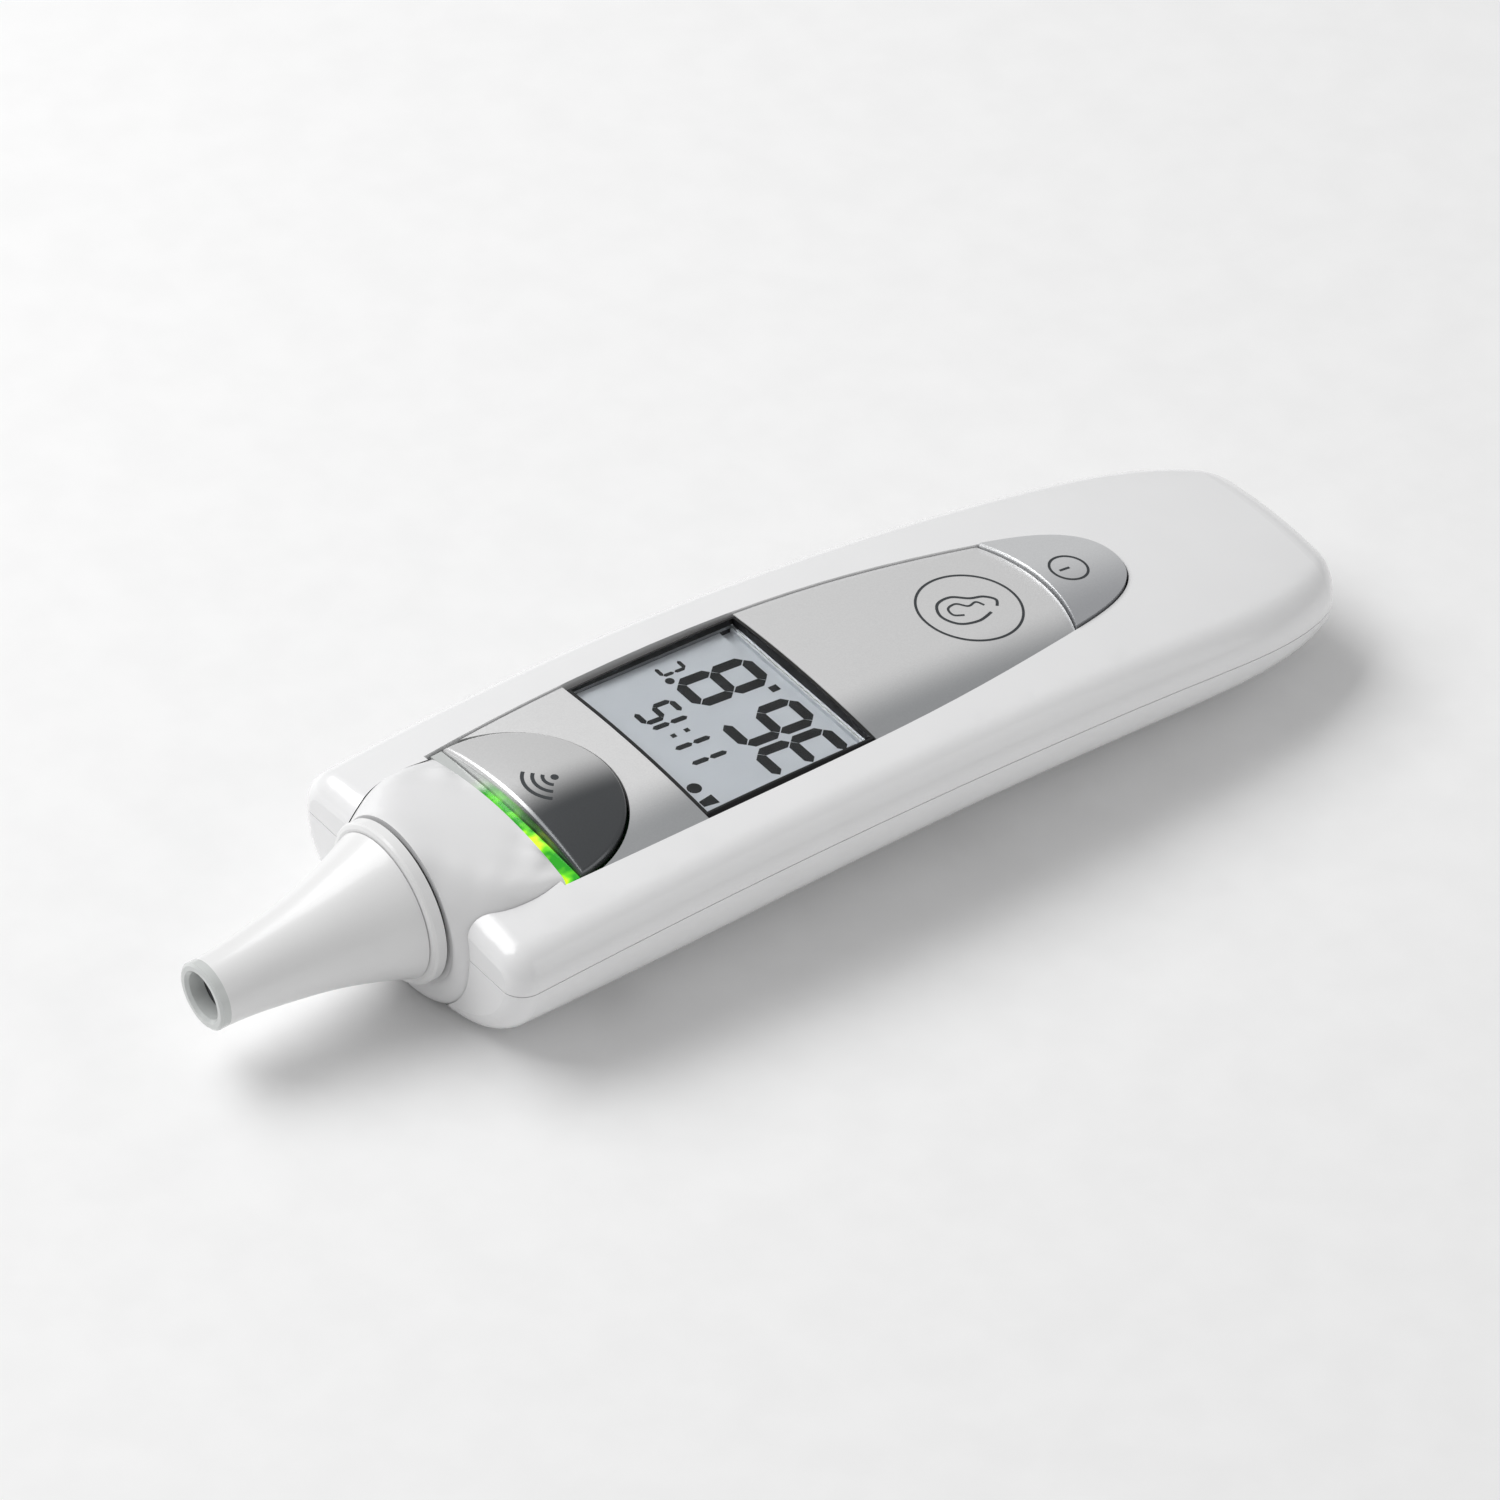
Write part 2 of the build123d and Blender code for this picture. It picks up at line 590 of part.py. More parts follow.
def tact_switch(station, top, name):
    """A push switch: a hollow body on the board and the plunger that slides in it."""
    with BuildPart() as switch_body:
        block(station, 0, BOARD_TOP, top, 6, 6)
        with Locations((x_at(station), 0, top)):
            Cylinder(PLUNGER_R + 0.05, 2 * (top - BOARD_TOP - 0.3), mode=Mode.SUBTRACT)
    save(switch_body, f"{name}_switch_body")
    with BuildPart() as plunger:
        low = BOARD_TOP + 0.3 + TRAVEL + 0.05
        with Locations((x_at(station), 0, (low + top + PLUNGER_UP) / 2)):
            Cylinder(PLUNGER_R, top + PLUNGER_UP - low)
    save(plunger, f"{name}_switch_plunger")


tact_switch(SCAN_SWITCH_AT, SCAN_SWITCH_TOP, "scan")
tact_switch(POWER_SWITCH_AT, POWER_SWITCH_TOP, "power")

with BuildPart() as status_leds:
    for y in (-8, -3, 3, 8):
        block((STRIP_FROM + STRIP_TO) / 2 + 0.6, y, BOARD_TOP, BOARD_TOP + 0.8, 0.9, 1.8)
save(status_leds, "status_leds")

with BuildPart() as controller_chip:
    block(66, 3, BOARD_Z - 1.4, BOARD_Z - 0.1, 9, 9)
    chamfer(controller_chip.edges().group_by(Axis.Z)[0], 0.25)
save(controller_chip, "controller_chip")

with BuildPart() as chip_leads:
    for step in range(10):
        along = -3.6 + 0.8 * step
        for side in (-1, 1):
            block(66 + along, 3 + side * 5.1, BOARD_Z - 0.6, BOARD_Z, 0.35, 1.2)
            block(66 + side * 5.1, 3 + along, BOARD_Z - 0.6, BOARD_Z, 1.2, 0.35)
save(chip_leads, "chip_leads")

with BuildPart() as pcb_capacitors:
    for station, y in ((57, -8), (57, -5), (60, -9), (76, 8), (76, 4), (92, 6), (92, 2), (98, -6)):
        block(station, y, BOARD_Z - 0.9, BOARD_Z, 2.0, 1.25)
save(pcb_capacitors, "pcb_capacitors")

with BuildPart() as clock_crystal:
    with Locations((x_at(76), -7, BOARD_Z - 1.2)):
        Cylinder(1.1, 6.5, rotation=(0, 90, 0))
save(clock_crystal, "clock_crystal")

with BuildPart() as piezo_buzzer:
    with Locations((x_at(90), -3, BOARD_Z - 1.6)):
        Cylinder(4.5, 3.2)
        Cylinder(0.8, 6.0, mode=Mode.SUBTRACT)
save(piezo_buzzer, "piezo_buzzer")

with BuildPart() as flex_connector:
    block(43.0, 0, BOARD_Z - 1.6, BOARD_Z, 3.4, 8.0)
    block(41.3, 0, BOARD_Z - 1.1, BOARD_Z - 0.7, 2.4, 5.4, Mode.SUBTRACT)
save(flex_connector, "flex_connector")

flex_start = probe_point(22.7)
flex_end = (x_at(41.8), 0, BOARD_Z - 0.9)
with BuildPart() as sensor_flex_cable:
    with BuildSketch(Plane.XZ):
        with BuildLine():
            FilletPolyline((flex_start[0] - 0.6, flex_start[2]), (flex_start[0] + 2.0, flex_start[2] + 0.2),
                           (flex_start[0] + 9.0, flex_end[2] - 1.6), (flex_end[0] - 3.5, flex_end[2]),
                           (flex_end[0], flex_end[2]), radius=2.0)
        trace(line_width=0.2)
    extrude(amount=2.5, both=True)
save(sensor_flex_cable, "sensor_flex_cable")


# ---------------------------------------------------------------- battery
DECK_TOP = COVER_TOP + 1.3
HOLDER_TOP = 10.0

with BuildPart() as battery_cell:
    with Locations((x_at(CELL_AT), 0, COVER_TOP + 0.05 + CELL_H / 2)):
        Cylinder(CELL_R, CELL_H)
    chamfer(battery_cell.edges().group_by(Axis.Z)[-1], 0.5)
save(battery_cell, "battery_cell")

with BuildPart() as battery_holder:
    with Locations((x_at(CELL_AT), 0, (DECK_TOP + HOLDER_TOP) / 2)):
        Cylinder(CELL_R + 2.2, HOLDER_TOP - DECK_TOP)
        Cylinder(CELL_R + 0.25, HOLDER_TOP - DECK_TOP, mode=Mode.SUBTRACT)
    with Locations((x_at(CELL_AT), 0, HOLDER_TOP - 0.5)):
        Cylinder(CELL_R + 1.0, 1.0)
    block(CELL_AT - CELL_R - 1, 0, 0, 30, 5, 5, Mode.SUBTRACT)
save(battery_holder, "battery_holder")

CELL_TOP = COVER_TOP + 0.05 + CELL_H
with BuildPart() as battery_spring:
    with BuildSketch(Plane.XZ):
        with BuildLine():
            FilletPolyline((x_at(CELL_AT) - 6, HOLDER_TOP - 1.2), (x_at(CELL_AT) - 2, HOLDER_TOP - 1.2),
                           (x_at(CELL_AT) + 3, CELL_TOP + 0.25), (x_at(CELL_AT) + 6, HOLDER_TOP - 1.6),
                           radius=0.8)
        trace(line_width=0.3)
    extrude(amount=2.0, both=True)
save(battery_spring, "battery_spring")

with BuildPart() as battery_clip:
    block(CELL_AT - CELL_R - 0.25, 0, DECK_TOP, BOARD_Z, 0.3, 4)
    block(CELL_AT - CELL_R - 1.2, 0, BOARD_Z - 0.35, BOARD_Z, 2.0, 4)
save(battery_clip, "battery_clip")
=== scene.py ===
import math

import bmesh
import bpy
from mathutils import Matrix, Vector
from mathutils.bvhtree import BVHTree


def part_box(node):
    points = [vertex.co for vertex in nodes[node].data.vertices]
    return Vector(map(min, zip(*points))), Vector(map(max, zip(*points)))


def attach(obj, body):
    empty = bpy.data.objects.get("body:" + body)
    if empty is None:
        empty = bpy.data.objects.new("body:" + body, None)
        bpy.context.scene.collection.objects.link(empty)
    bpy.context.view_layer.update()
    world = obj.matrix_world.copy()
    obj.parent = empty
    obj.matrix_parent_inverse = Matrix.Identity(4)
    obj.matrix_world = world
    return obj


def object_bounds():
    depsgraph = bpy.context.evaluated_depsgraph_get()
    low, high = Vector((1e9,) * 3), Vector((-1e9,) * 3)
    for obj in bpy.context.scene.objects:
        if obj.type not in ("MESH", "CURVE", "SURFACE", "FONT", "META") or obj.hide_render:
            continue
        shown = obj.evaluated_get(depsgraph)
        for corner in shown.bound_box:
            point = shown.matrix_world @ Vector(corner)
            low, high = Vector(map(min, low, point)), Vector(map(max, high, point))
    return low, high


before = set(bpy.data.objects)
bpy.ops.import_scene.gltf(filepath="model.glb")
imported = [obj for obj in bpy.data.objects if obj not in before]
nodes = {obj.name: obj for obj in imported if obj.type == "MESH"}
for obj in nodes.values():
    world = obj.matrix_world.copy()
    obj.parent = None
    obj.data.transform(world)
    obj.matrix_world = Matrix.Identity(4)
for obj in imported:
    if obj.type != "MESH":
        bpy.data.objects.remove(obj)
cad_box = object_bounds()
MM = 0.001


# ---------------------------------------------------------------- materials
def new_material(name):
    """A material, its node tree and its shader."""
    material = bpy.data.materials.new(name)
    material.use_nodes = True
    tree = material.node_tree
    return material, tree, tree.nodes["Principled BSDF"]


def noise(tree, scale, detail=3.0, stretch=(1, 1, 1)):
    """Noise laid out in the object's own space."""
    place = tree.nodes.new("ShaderNodeTexCoord")
    mapping = tree.nodes.new("ShaderNodeMapping")
    mapping.inputs["Scale"].default_value = stretch
    texture = tree.nodes.new("ShaderNodeTexNoise")
    texture.inputs["Scale"].default_value = scale
    texture.inputs["Detail"].default_value = detail
    tree.links.new(place.outputs["Object"], mapping.inputs["Vector"])
    tree.links.new(mapping.outputs["Vector"], texture.inputs["Vector"])
    return texture.outputs["Fac"]


def ramp(tree, source, low, high):
    """Turns a factor into a mix of two colours."""
    node = tree.nodes.new("ShaderNodeValToRGB")
    node.color_ramp.interpolation = "EASE"
    node.color_ramp.elements[0].position = 0.2
    node.color_ramp.elements[1].position = 0.8
    node.color_ramp.elements[0].color = (*low, 1)
    node.color_ramp.elements[1].color = (*high, 1)
    tree.links.new(source, node.inputs["Fac"])
    return node.outputs["Color"]


def span(tree, source, low, high):
    """Maps a factor from 0..1 to low..high."""
    node = tree.nodes.new("ShaderNodeMapRange")
    node.inputs["To Min"].default_value = low
    node.inputs["To Max"].default_value = high
    tree.links.new(source, node.inputs["Value"])
    return node.outputs["Result"]


def bump(tree, shader, source, strength, distance):
    """Lets a factor raise the surface slightly."""
    node = tree.nodes.new("ShaderNodeBump")
    node.inputs["Strength"].default_value = strength
    node.inputs["Distance"].default_value = distance
    tree.links.new(source, node.inputs["Height"])
    tree.links.new(node.outputs["Normal"], shader.inputs["Normal"])


def moulded(name, colour, rough=0.3, spread=0.05, grain=0.0, coat=0.0, tint=0.97):
    """Moulded or lacquered surface: faint mottling in colour and gloss, and a fine grain."""
    material, tree, shader = new_material(name)
    mottle = noise(tree, 140, 2.0)
    fine = noise(tree, 2600, 4.0)
    darker = tuple(channel * tint for channel in colour)
    tree.links.new(ramp(tree, mottle, darker, colour), shader.inputs["Base Color"])
    tree.links.new(span(tree, fine, rough - spread, rough + spread), shader.inputs["Roughness"])
    shader.inputs["Coat Weight"].default_value = coat
    shader.inputs["Coat Roughness"].default_value = 0.12
    if grain:
        bump(tree, shader, fine, grain, 0.00002)
    return material


def brushed(name, colour, rough=0.32, stretch=(1, 60, 60)):
    """Metal with fine lines along one direction."""
    material, tree, shader = new_material(name)
    lines = noise(tree, 900, 2.0, stretch)
    darker = tuple(channel * 0.8 for channel in colour)
    tree.links.new(ramp(tree, lines, darker, colour), shader.inputs["Base Color"])
    tree.links.new(span(tree, lines, rough - 0.08, rough + 0.1), shader.inputs["Roughness"])
    shader.inputs["Metallic"].default_value = 1.0
    bump(tree, shader, lines, 0.15, 0.00001)
    return material


def clear(name, colour, rough=0.05, ior=1.49):
    """Clear plastic or glass with a trace of haze."""
    material, tree, shader = new_material(name)
    haze = noise(tree, 500, 2.0)
    shader.inputs["Base Color"].default_value = (*colour, 1)
    tree.links.new(span(tree, haze, rough * 0.6, rough * 1.4), shader.inputs["Roughness"])
    shader.inputs["Transmission Weight"].default_value = 1.0
    shader.inputs["IOR"].default_value = ior
    return material


def along_y(tree, low, high):
    """0 below y = low, 1 above y = high, in metres, with a soft step between."""
    place = tree.nodes.new("ShaderNodeTexCoord")
    parts = tree.nodes.new("ShaderNodeSeparateXYZ")
    step = tree.nodes.new("ShaderNodeMapRange")
    step.interpolation_type = "SMOOTHSTEP"
    step.inputs["From Min"].default_value = low
    step.inputs["From Max"].default_value = high
    tree.links.new(place.outputs["Object"], parts.inputs["Vector"])
    tree.links.new(parts.outputs["Y"], step.inputs["Value"])
    return step.outputs["Result"]


def glow_strip(name):
    """The light guide: lit yellow-green in patches on one half, clear grey on the other."""
    material, tree, shader = new_material(name)
    patches = noise(tree, 380, 2.0, (1, 1, 0.2))
    hot = tree.nodes.new("ShaderNodeValToRGB")
    stops = hot.color_ramp.elements
    stops[0].position = 0.38
    stops[0].color = (0.0, 0.14, 0.0, 1)
    stops[1].position = 0.60
    stops[1].color = (0.75, 0.95, 0.02, 1)
    middle = stops.new(0.49)
    middle.color = (0.12, 0.52, 0.0, 1)
    tree.links.new(patches, hot.inputs["Fac"])
    unlit = along_y(tree, 0.0025, 0.0065)
    power = span(tree, unlit, 1.1, 0.0)
    tree.links.new(hot.outputs["Color"], shader.inputs["Emission Color"])
    tree.links.new(power, shader.inputs["Emission Strength"])
    tree.links.new(ramp(tree, unlit, (0.03, 0.30, 0.02), (0.55, 0.57, 0.56)), shader.inputs["Base Color"])
    tree.links.new(span(tree, patches, 0.12, 0.3), shader.inputs["Roughness"])
    return material


def silver(name, light, dark, rough, far, near):
    """Satin silver lacquer with painted shade and reflection: its colour runs from light at the far side
    to darker at the near side.
    """
    material, tree, shader = new_material(name)
    flake = noise(tree, 5200, 4.0)
    # painted shade and reflection: light at y = far, darker at y = near, laid into the base colour
    painted_shade_ramp = ramp(tree, along_y(tree, near, far), dark, light)
    sparkle = tree.nodes.new("ShaderNodeMix")
    sparkle.data_type = "RGBA"
    sparkle.blend_type = "MULTIPLY"
    sparkle.inputs["Factor"].default_value = 0.35
    tree.links.new(painted_shade_ramp, sparkle.inputs["A"])
    tree.links.new(ramp(tree, flake, (0.82, 0.82, 0.83), (1, 1, 1)), sparkle.inputs["B"])
    tree.links.new(sparkle.outputs["Result"], shader.inputs["Base Color"])
    tree.links.new(span(tree, flake, rough - 0.05, rough + 0.06), shader.inputs["Roughness"])
    shader.inputs["Metallic"].default_value = 0.55
    shader.inputs["Coat Weight"].default_value = 0.25
    shader.inputs["Coat Roughness"].default_value = 0.15
    bump(tree, shader, flake, 0.08, 0.00001)
    return material


MATERIALS = {
    "casing": moulded("casing_white", (0.86, 0.86, 0.865), 0.22, 0.03, 0.02, coat=0.35, tint=0.985),
    "nose": moulded("nose_white", (0.83, 0.83, 0.835), 0.30, 0.04, 0.03, coat=0.2, tint=0.985),
    "probe": moulded("probe_white", (0.83, 0.83, 0.83), 0.30, 0.04, 0.02, coat=0.25, tint=0.985),
    "rim": moulded("rim_grey", (0.62, 0.64, 0.63), 0.22, 0.05, 0.03, coat=0.4),
    "seal": moulded("seal_rubber", (0.035, 0.036, 0.038), 0.65, 0.08, 0.15, tint=0.8),
    # Black frame, partly its own colour and partly painted shade: it is darker than black plastic so its
    # walls also stand for the shadowed recess round the display.
    "frame": moulded("frame_black", (0.004, 0.004, 0.005), 0.5, 0.06, 0.06, tint=0.8),
    # The three silver parts carry painted shade and reflection: light on the far side, darker on the near
    # side. The scan button's dark end is near black.
    "panel": silver("panel_silver", (0.93, 0.93, 0.93), (0.42, 0.43, 0.44), 0.33, 0.001, -0.016),
    "scan": silver("scan_silver", (0.90, 0.90, 0.90), (0.09, 0.095, 0.10), 0.24, 0.007, -0.009),
    "power": silver("power_silver", (0.88, 0.89, 0.90), (0.50, 0.51, 0.53), 0.30, 0.010, -0.014),
    "lens": clear("lens_clear", (0.98, 0.99, 1.0), 0.02, 1.16),
    "window": clear("sensor_window", (0.25, 0.22, 0.28), 0.05, 1.6),
    "guide": glow_strip("guide_green"),
    "lcd": moulded("lcd_grey", (0.66, 0.69, 0.72), 0.5, 0.03, 0.0, tint=0.94),
    "segment": moulded("lcd_segment", (0.003, 0.004, 0.005), 0.6, 0.05, 0.02, tint=0.8),
    "print": moulded("print_dark", (0.035, 0.04, 0.045), 0.45, 0.06, 0.05, tint=0.85),
    "white_sheet": moulded("reflector_white", (0.7, 0.72, 0.73), 0.55, 0.05, 0.05),
    "board": moulded("board_green", (0.015, 0.11, 0.045), 0.34, 0.08, 0.12, tint=0.7),
    "chip": moulded("chip_black", (0.018, 0.018, 0.02), 0.55, 0.06, 0.2, tint=0.8),
    "ceramic": moulded("ceramic_tan", (0.34, 0.25, 0.17), 0.45, 0.06, 0.1, tint=0.8),
    "acetal": moulded("plunger_white", (0.7, 0.7, 0.69), 0.4, 0.05, 0.06),
    "flex": moulded("flex_amber", (0.42, 0.19, 0.03), 0.25, 0.06, 0.04, tint=0.8),
    "elastomer": moulded("elastomer_grey", (0.05, 0.05, 0.055), 0.7, 0.08, 0.2, tint=0.7),
    "led": moulded("led_body", (0.72, 0.78, 0.6), 0.3, 0.06, 0.05),
    "gold": brushed("gold_plate", (0.78, 0.55, 0.22), 0.24),
    "steel": brushed("bright_steel", (0.62, 0.62, 0.63), 0.26),
    "spring": brushed("spring_steel", (0.5, 0.5, 0.52), 0.3, (60, 1, 60)),
    "alu": brushed("turned_aluminium", (0.66, 0.67, 0.68), 0.32, (60, 1, 1)),
}
NODE_MATERIALS = {
    "casing": ("upper_casing", "lower_casing", "battery_cover"),
    "nose": ("nose_cap",),
    "probe": ("probe_cone", "probe_collar_ring"),
    "rim": ("probe_tip_rim",),
    "seal": ("probe_seal",),
    "frame": ("lcd_frame",),
    "panel": ("front_panel",),
    "scan": ("scan_button",),
    "power": ("power_button",),
    "lens": ("display_lens",),
    "window": ("sensor_window",),
    "guide": ("light_guide",),
    "lcd": ("lcd_glass",),
    "white_sheet": ("lcd_reflector",),
    "board": ("main_pcb", "sensor_board"),
    "chip": ("controller_chip", "scan_switch_body", "power_switch_body", "battery_holder",
             "flex_connector", "piezo_buzzer"),
    "ceramic": ("pcb_capacitors",),
    "acetal": ("scan_switch_plunger", "power_switch_plunger"),
    "flex": ("sensor_flex_cable",),
    "elastomer": ("zebra_strips",),
    "led": ("status_leds",),
    "gold": ("waveguide_tube", "sensor_leads"),
    "steel": ("battery_cell", "thermopile_sensor", "clock_crystal", "chip_leads", "casing_screws",
              "pcb_screws"),
    "spring": ("battery_spring", "battery_clip"),
    "alu": ("sensor_holder",),
}
for key, names in NODE_MATERIALS.items():
    for name in names:
        mesh = nodes[name].data
        mesh.materials.clear()
        mesh.materials.append(MATERIALS[key])


# ---------------------------------------------------------------- thin printed marks
def surface_of(name):
    """A way to ask how high a CAD node's upper surface is at x, y."""
    mesh = bmesh.new()
    mesh.from_mesh(nodes[name].data)
    tree = BVHTree.FromBMesh(mesh)
    mesh.free()

    def height(x, y):
        hit = tree.ray_cast(Vector((x, y, 0.1)), Vector((0, 0, -1)))
        return hit[0].z if hit[0] else None

    return height


def add_piece(name, mesh, material, body):
    """Puts a finished bmesh in the scene as a piece that rides on a body."""
    data = bpy.data.meshes.new(name)
    bmesh.ops.recalc_face_normals(mesh, faces=mesh.faces)
    mesh.to_mesh(data)
    mesh.free()
    data.materials.append(material)
    piece = bpy.data.objects.new(name, data)
    bpy.context.scene.collection.objects.link(piece)
    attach(piece, body)


def add_patch(mesh, outline, height, thick):
    """A thin closed plate with this outline, laid on a surface."""
    top = [mesh.verts.new((x, y, height(x, y) + thick)) for x, y in outline]
    low = [mesh.verts.new((x, y, height(x, y) - thick * 0.5)) for x, y in outline]
    mesh.faces.new(top)
    mesh.faces.new(low)
    for i in range(len(outline)):
        j = (i + 1) % len(outline)
        mesh.faces.new((top[i], top[j], low[j], low[i]))


def add_ribbon(mesh, points, width, height, thick, closed=False):
    """A thin band of constant width along a line of points, laid on a surface."""
    count = len(points)
    rings = []
    for i, point in enumerate(points):
        before = points[(i - 1) % count] if closed or i else point
        after = points[(i + 1) % count] if closed or i < count - 1 else point
        run = (after - before).normalized()
        side = Vector((-run.y, run.x)) * (width / 2)
        ring = []
        for x, y in (point + side, point - side):
            z = height(x, y)
            ring += [mesh.verts.new((x, y, z + thick)), mesh.verts.new((x, y, z - thick * 0.5))]
        rings.append(ring)
    spans = list(zip(rings, rings[1:])) + ([(rings[-1], rings[0])] if closed else [])
    for (a, b, c, d), (e, f, g, h) in spans:
        mesh.faces.new((a, c, g, e))
        mesh.faces.new((b, f, h, d))
        mesh.faces.new((a, e, f, b))
        mesh.faces.new((c, d, h, g))
    if not closed:
        for a, b, c, d in (rings[0], rings[-1]):
            mesh.faces.new((a, b, d, c))


def smooth_line(points, steps=10):
    """Points along a Catmull-Rom curve through the given ones."""
    line = [Vector(point) for point in points]
    line = [line[0]] + line + [line[-1]]
    out = []
    for i in range(1, len(line) - 2):
        p0, p1, p2, p3 = line[i - 1:i + 3]
        for k in range(steps):
            t = k / steps
            out.append(0.5 * (2 * p1 + (p2 - p0) * t + (2 * p0 - 5 * p1 + 4 * p2 - p3) * t * t
                              + (3 * p1 - p0 - 3 * p2 + p3) * t ** 3))
    out.append(line[-2])
    return out


def arc(radius, start, stop, steps, centre=(0, 0)):
    """Points on an arc, angles in degrees."""
    angles = [math.radians(start + (stop - start) * k / steps) for k in range(steps + 1)]
    return [Vector((centre[0] + radius * math.cos(a), centre[1] + radius * math.sin(a))) for a in angles]


def placed(points, centre):
    """Turns points read from the handle's end (right is +Y, up is -X) into row coordinates."""
    return [Vector((centre[0] - up * MM, centre[1] + right * MM)) for right, up in points]


# Seven bars of a digit: start and end corners in a cell that is 1 wide and 2 high.
BARS = {
    "a": ((0, 2), (1, 2)), "b": ((1, 2), (1, 1)), "c": ((1, 1), (1, 0)), "d": ((0, 0), (1, 0)),
    "e": ((0, 1), (0, 0)), "f": ((0, 2), (0, 1)), "g": ((0, 1), (1, 1)),
}
DIGITS = {"1": "bc", "3": "abcdg", "5": "acdfg", "6": "acdefg", "8": "abcdefg", "C": "adef"}
LEAN = 0.06


def digit_bars(symbol, left, low, wide, tall, thick):
    """Outlines of a digit's bars: each a long hexagon with a small gap to its neighbours."""
    for bar in DIGITS[symbol]:
        ends = [Vector((left + u * wide + LEAN * v * tall / 2, low + v * tall / 2)) for u, v in BARS[bar]]
        run = (ends[1] - ends[0]).normalized()
        side = Vector((-run.y, run.x)) * (thick / 2)
        start = ends[0] + run * thick * 0.05
        stop = ends[1] - run * thick * 0.05
        nib = run * (thick / 2)
        yield [start, start + nib + side, stop - nib + side, stop, stop - nib - side, start + nib - side]


def box_outline(left, low, wide, tall):
    """Corners of an upright box, as (right, up) points."""
    return [(left, low), (left + wide, low), (left + wide, low + tall), (left, low + tall)]


lcd_low, lcd_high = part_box("lcd_glass")
lcd_centre = ((lcd_low.x + lcd_high.x) / 2, 0.0)
LCD_LIFT = 0.012 * MM
LCD_THICK = 0.01 * MM
READING_ROW = -8.6
CLOCK_ROW = 2.4


def lcd_height(x, y):
    """The display glass is flat, so the marks on it lie at one height everywhere."""
    return lcd_high.z + LCD_LIFT


def lcd_readout():
    """The reading, the clock and the small symbols as dark bars on the display glass."""
    mesh = bmesh.new()
    bars = []
    big = {"wide": 4.2, "tall": 8.6, "thick": 1.35}
    for symbol, left in (("3", -11.4), ("6", -5.4), ("8", 2.9)):
        bars += digit_bars(symbol, left, READING_ROW, **big)
    bars.append(box_outline(0.8, -9.0, 1.0, 1.1))
    small = {"wide": 2.1, "tall": 4.6, "thick": 0.72}
    for symbol, left in (("1", -6.6), ("1", -3.6), ("1", 0.5), ("5", 3.7)):
        bars += digit_bars(symbol, left, CLOCK_ROW, **small)
    for low in (3.6, 5.4):
        bars.append(box_outline(0.45, low, 0.6, 0.6))
    bars += digit_bars("C", 9.4, -2.4, 1.5, 2.9, 0.5)
    bars.append([tuple(p) for p in arc(0.55, 0, 360, 12, (8.5, 0.4))[:-1]])
    bars.append([tuple(p) for p in arc(0.85, 0, 360, 16, (-7.6, 9.2))[:-1]])
    bars.append([(-11.0, 8.3), (-9.4, 8.3), (-9.7, 10.2), (-10.7, 10.2)])
    for outline in bars:
        add_patch(mesh, placed(outline, lcd_centre), lcd_height, LCD_THICK)
    add_piece("lcd_readout", mesh, MATERIALS["segment"], "housing")


lcd_readout()

PRINT = 0.03 * MM
power_low, power_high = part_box("power_button")
scan_low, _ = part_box("scan_button")


def ear_mark():
    """A ring with a plain ear drawn in it, printed on the panel behind the display."""
    height = surface_of("front_panel")
    centre = (power_low.x - 8.3 * MM, 0.0)
    mesh = bmesh.new()
    ring = placed([tuple(p) for p in arc(6.0, 0, 360, 96)[:-1]], centre)
    add_ribbon(mesh, ring, 0.30 * MM, height, PRINT, closed=True)
    outer = [(-1.9, -1.6), (-2.5, 0.6), (-1.9, 2.9), (0.1, 3.9), (2.1, 2.9), (2.5, 0.8), (1.3, -1.0),
             (0.8, -2.6), (-0.3, -3.5), (-1.3, -2.9)]
    inner = [(-0.9, 1.4), (-0.3, 2.5), (0.9, 2.3), (1.2, 1.0), (0.2, 0.0), (0.4, -1.2), (-0.5, -1.7)]
    for outline, width in ((outer, 0.34), (inner, 0.28)):
        add_ribbon(mesh, placed(smooth_line(outline), centre), width * MM, height, PRINT)
    add_piece("ear_mark", mesh, MATERIALS["print"], "housing")


def power_mark():
    """A ring with a bar in it, the usual on and off sign, printed on the rear button."""
    height = surface_of("power_button")
    centre = ((power_low.x + power_high.x) / 2 - 0.4 * MM, 0.0)
    mesh = bmesh.new()
    ring = placed([tuple(p) for p in arc(2.2, 0, 360, 48)[:-1]], centre)
    add_ribbon(mesh, ring, 0.30 * MM, height, PRINT, closed=True)
    add_ribbon(mesh, placed([(0, 1.3), (0, 0.6), (0, -0.1)], centre), 0.32 * MM, height, PRINT)
    add_piece("power_mark", mesh, MATERIALS["print"], "power_button")


def scan_mark():
    """Three widening arcs over a dot, printed on the front button."""
    height = surface_of("scan_button")
    centre = (scan_low.x + 5.6 * MM, 0.0)
    mesh = bmesh.new()
    for radius in (1.3, 2.4, 3.5):
        points = placed([tuple(p) for p in arc(radius, 40, 140, 24)], centre)
        add_ribbon(mesh, points, 0.42 * MM, height, PRINT)
    dot = placed([tuple(p) for p in arc(0.45, 0, 360, 20)[:-1]], centre)
    add_patch(mesh, dot, height, PRINT)
    add_piece("scan_mark", mesh, MATERIALS["print"], "scan_button")


ear_mark()
power_mark()
scan_mark()


# ---------------------------------------------------------------- floor, light and camera
FLOOR_DROP = 0.0002


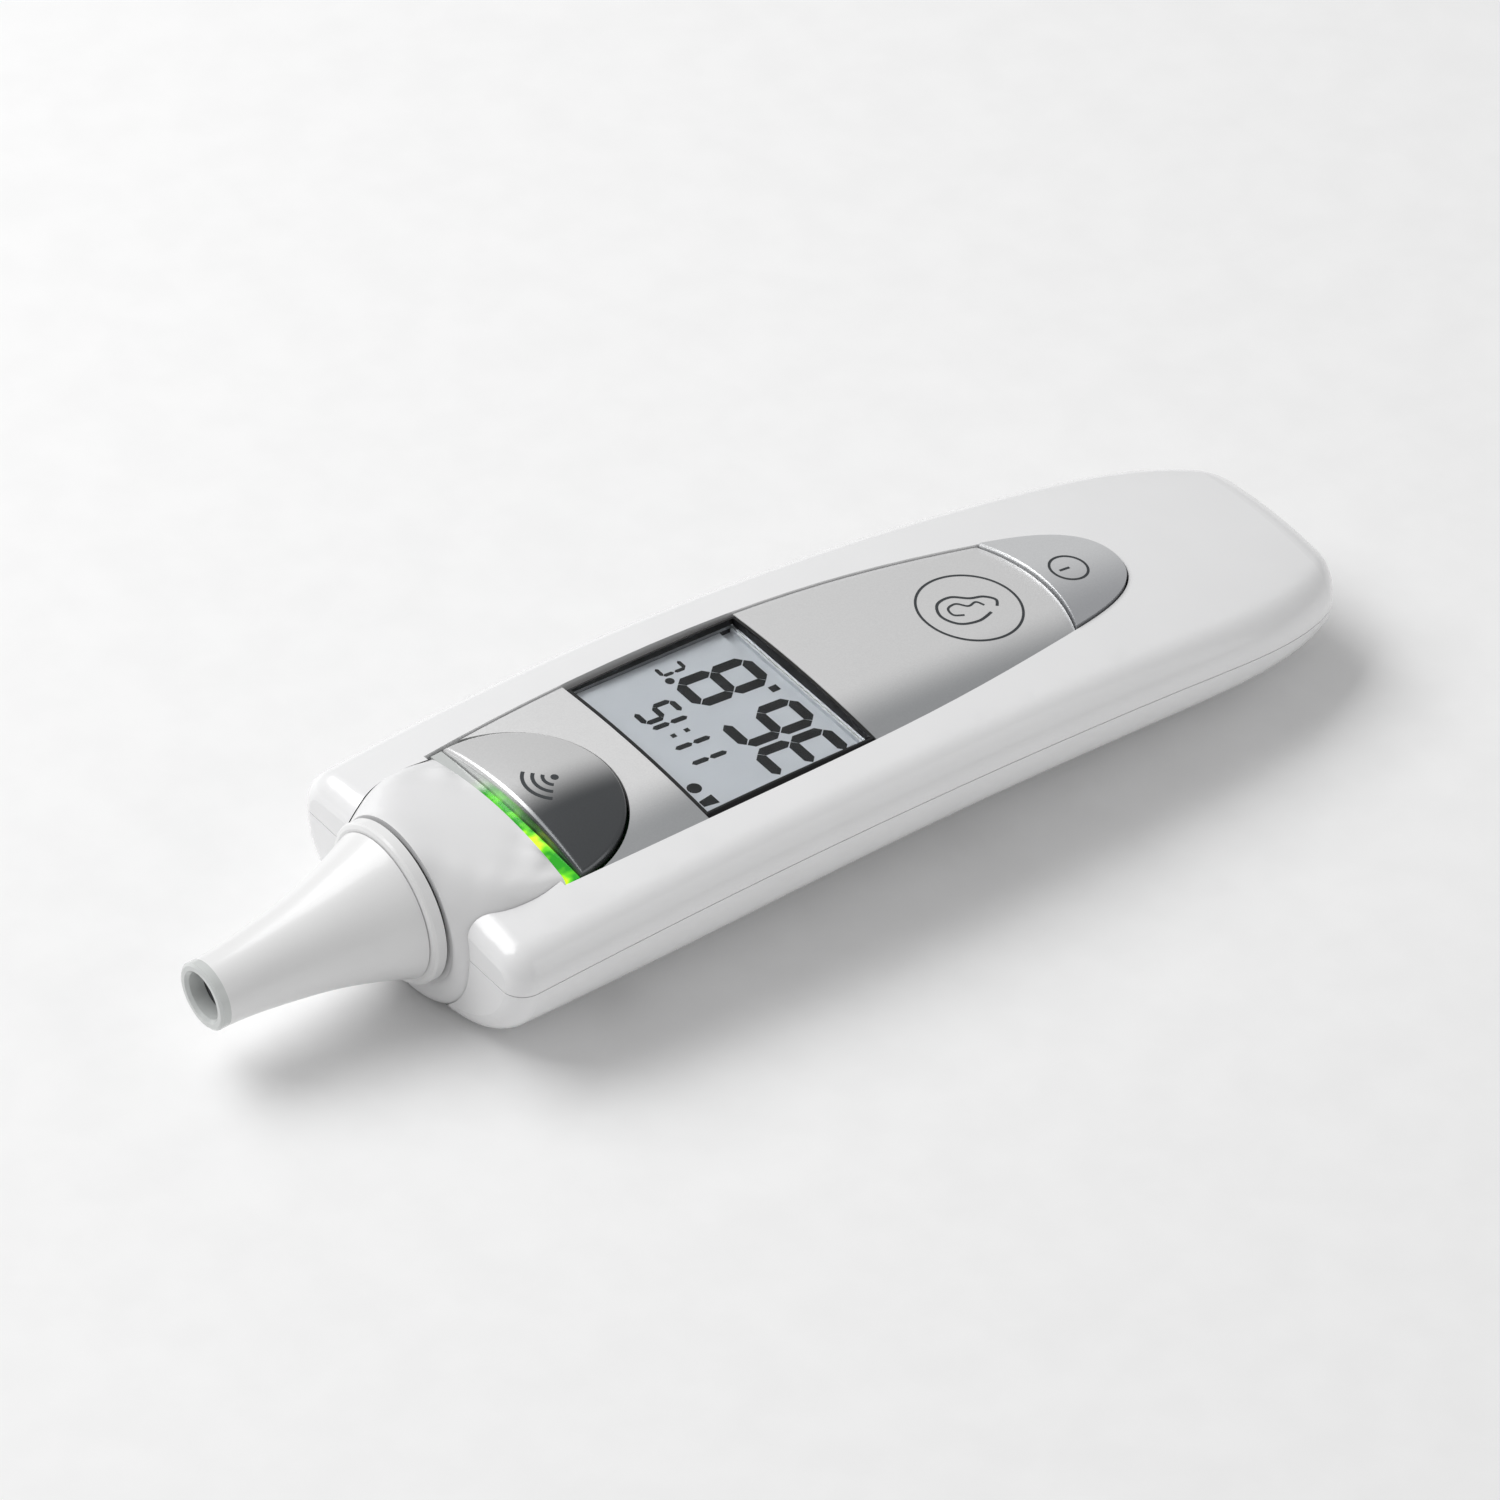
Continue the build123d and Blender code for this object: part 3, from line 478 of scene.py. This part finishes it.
def add_stage():
    """A wide pale floor, level with the underside."""
    bpy.ops.mesh.primitive_grid_add(x_subdivisions=8, y_subdivisions=8, size=8.0,
                                    location=(0, 0, cad_box[0][2] - FLOOR_DROP))
    floor = bpy.context.object
    floor.name = "floor"
    floor.data.materials.append(moulded("floor_pale", (0.93, 0.93, 0.93), 0.6, 0.05))


def add_area(name, place, size, power, target=(0, 0, 0.01)):
    """A rectangular lamp at place, aimed at target."""
    data = bpy.data.lights.new(name, "AREA")
    data.shape = "RECTANGLE"
    data.size, data.size_y = size
    data.energy = power
    light = bpy.data.objects.new(name, data)
    light.location = place
    light.rotation_euler = (Vector(target) - Vector(place)).to_track_quat("-Z", "Y").to_euler()
    bpy.context.scene.collection.objects.link(light)


def add_world(colour, strength):
    """Even light from all round."""
    world = bpy.data.worlds.new("studio")
    world.use_nodes = True
    background = world.node_tree.nodes["Background"]
    background.inputs["Color"].default_value = (*colour, 1)
    background.inputs["Strength"].default_value = strength
    bpy.context.scene.world = world


def add_camera(azimuth, elevation, roll, distance, target, lens):
    """A camera that looks at target from azimuth and elevation in degrees, turned by roll."""
    a, e = math.radians(azimuth), math.radians(elevation)
    back = Vector((math.sin(a) * math.cos(e), -math.cos(a) * math.cos(e), math.sin(e)))
    level = Vector((math.cos(a), math.sin(a), 0))
    turned = Matrix.Rotation(math.radians(roll), 3, back)
    right = turned @ level
    up = turned @ back.cross(level)
    data = bpy.data.cameras.new("camera")
    data.sensor_width = 36.0
    data.lens = lens
    data.clip_start = 0.01
    camera = bpy.data.objects.new("camera", data)
    matrix = Matrix((right, up, back)).transposed().to_4x4()
    matrix.translation = Vector(target) + back * distance
    camera.matrix_world = matrix
    bpy.context.scene.collection.objects.link(camera)
    bpy.context.scene.camera = camera


add_stage()
add_world(colour=(1.0, 1.0, 1.0), strength=0.36)
add_area("key", place=(-0.30, 0.50, 0.70), size=(0.9, 0.6), power=7.2)
add_area("fill", place=(0.45, -0.65, 0.35), size=(0.6, 0.6), power=1.1)
add_camera(azimuth=-40.21, elevation=39.15, roll=4.62, distance=1.0404,
           target=(-0.00175, 0.0, 0.0108), lens=229.1)
bpy.context.scene.view_settings.view_transform = "Standard"
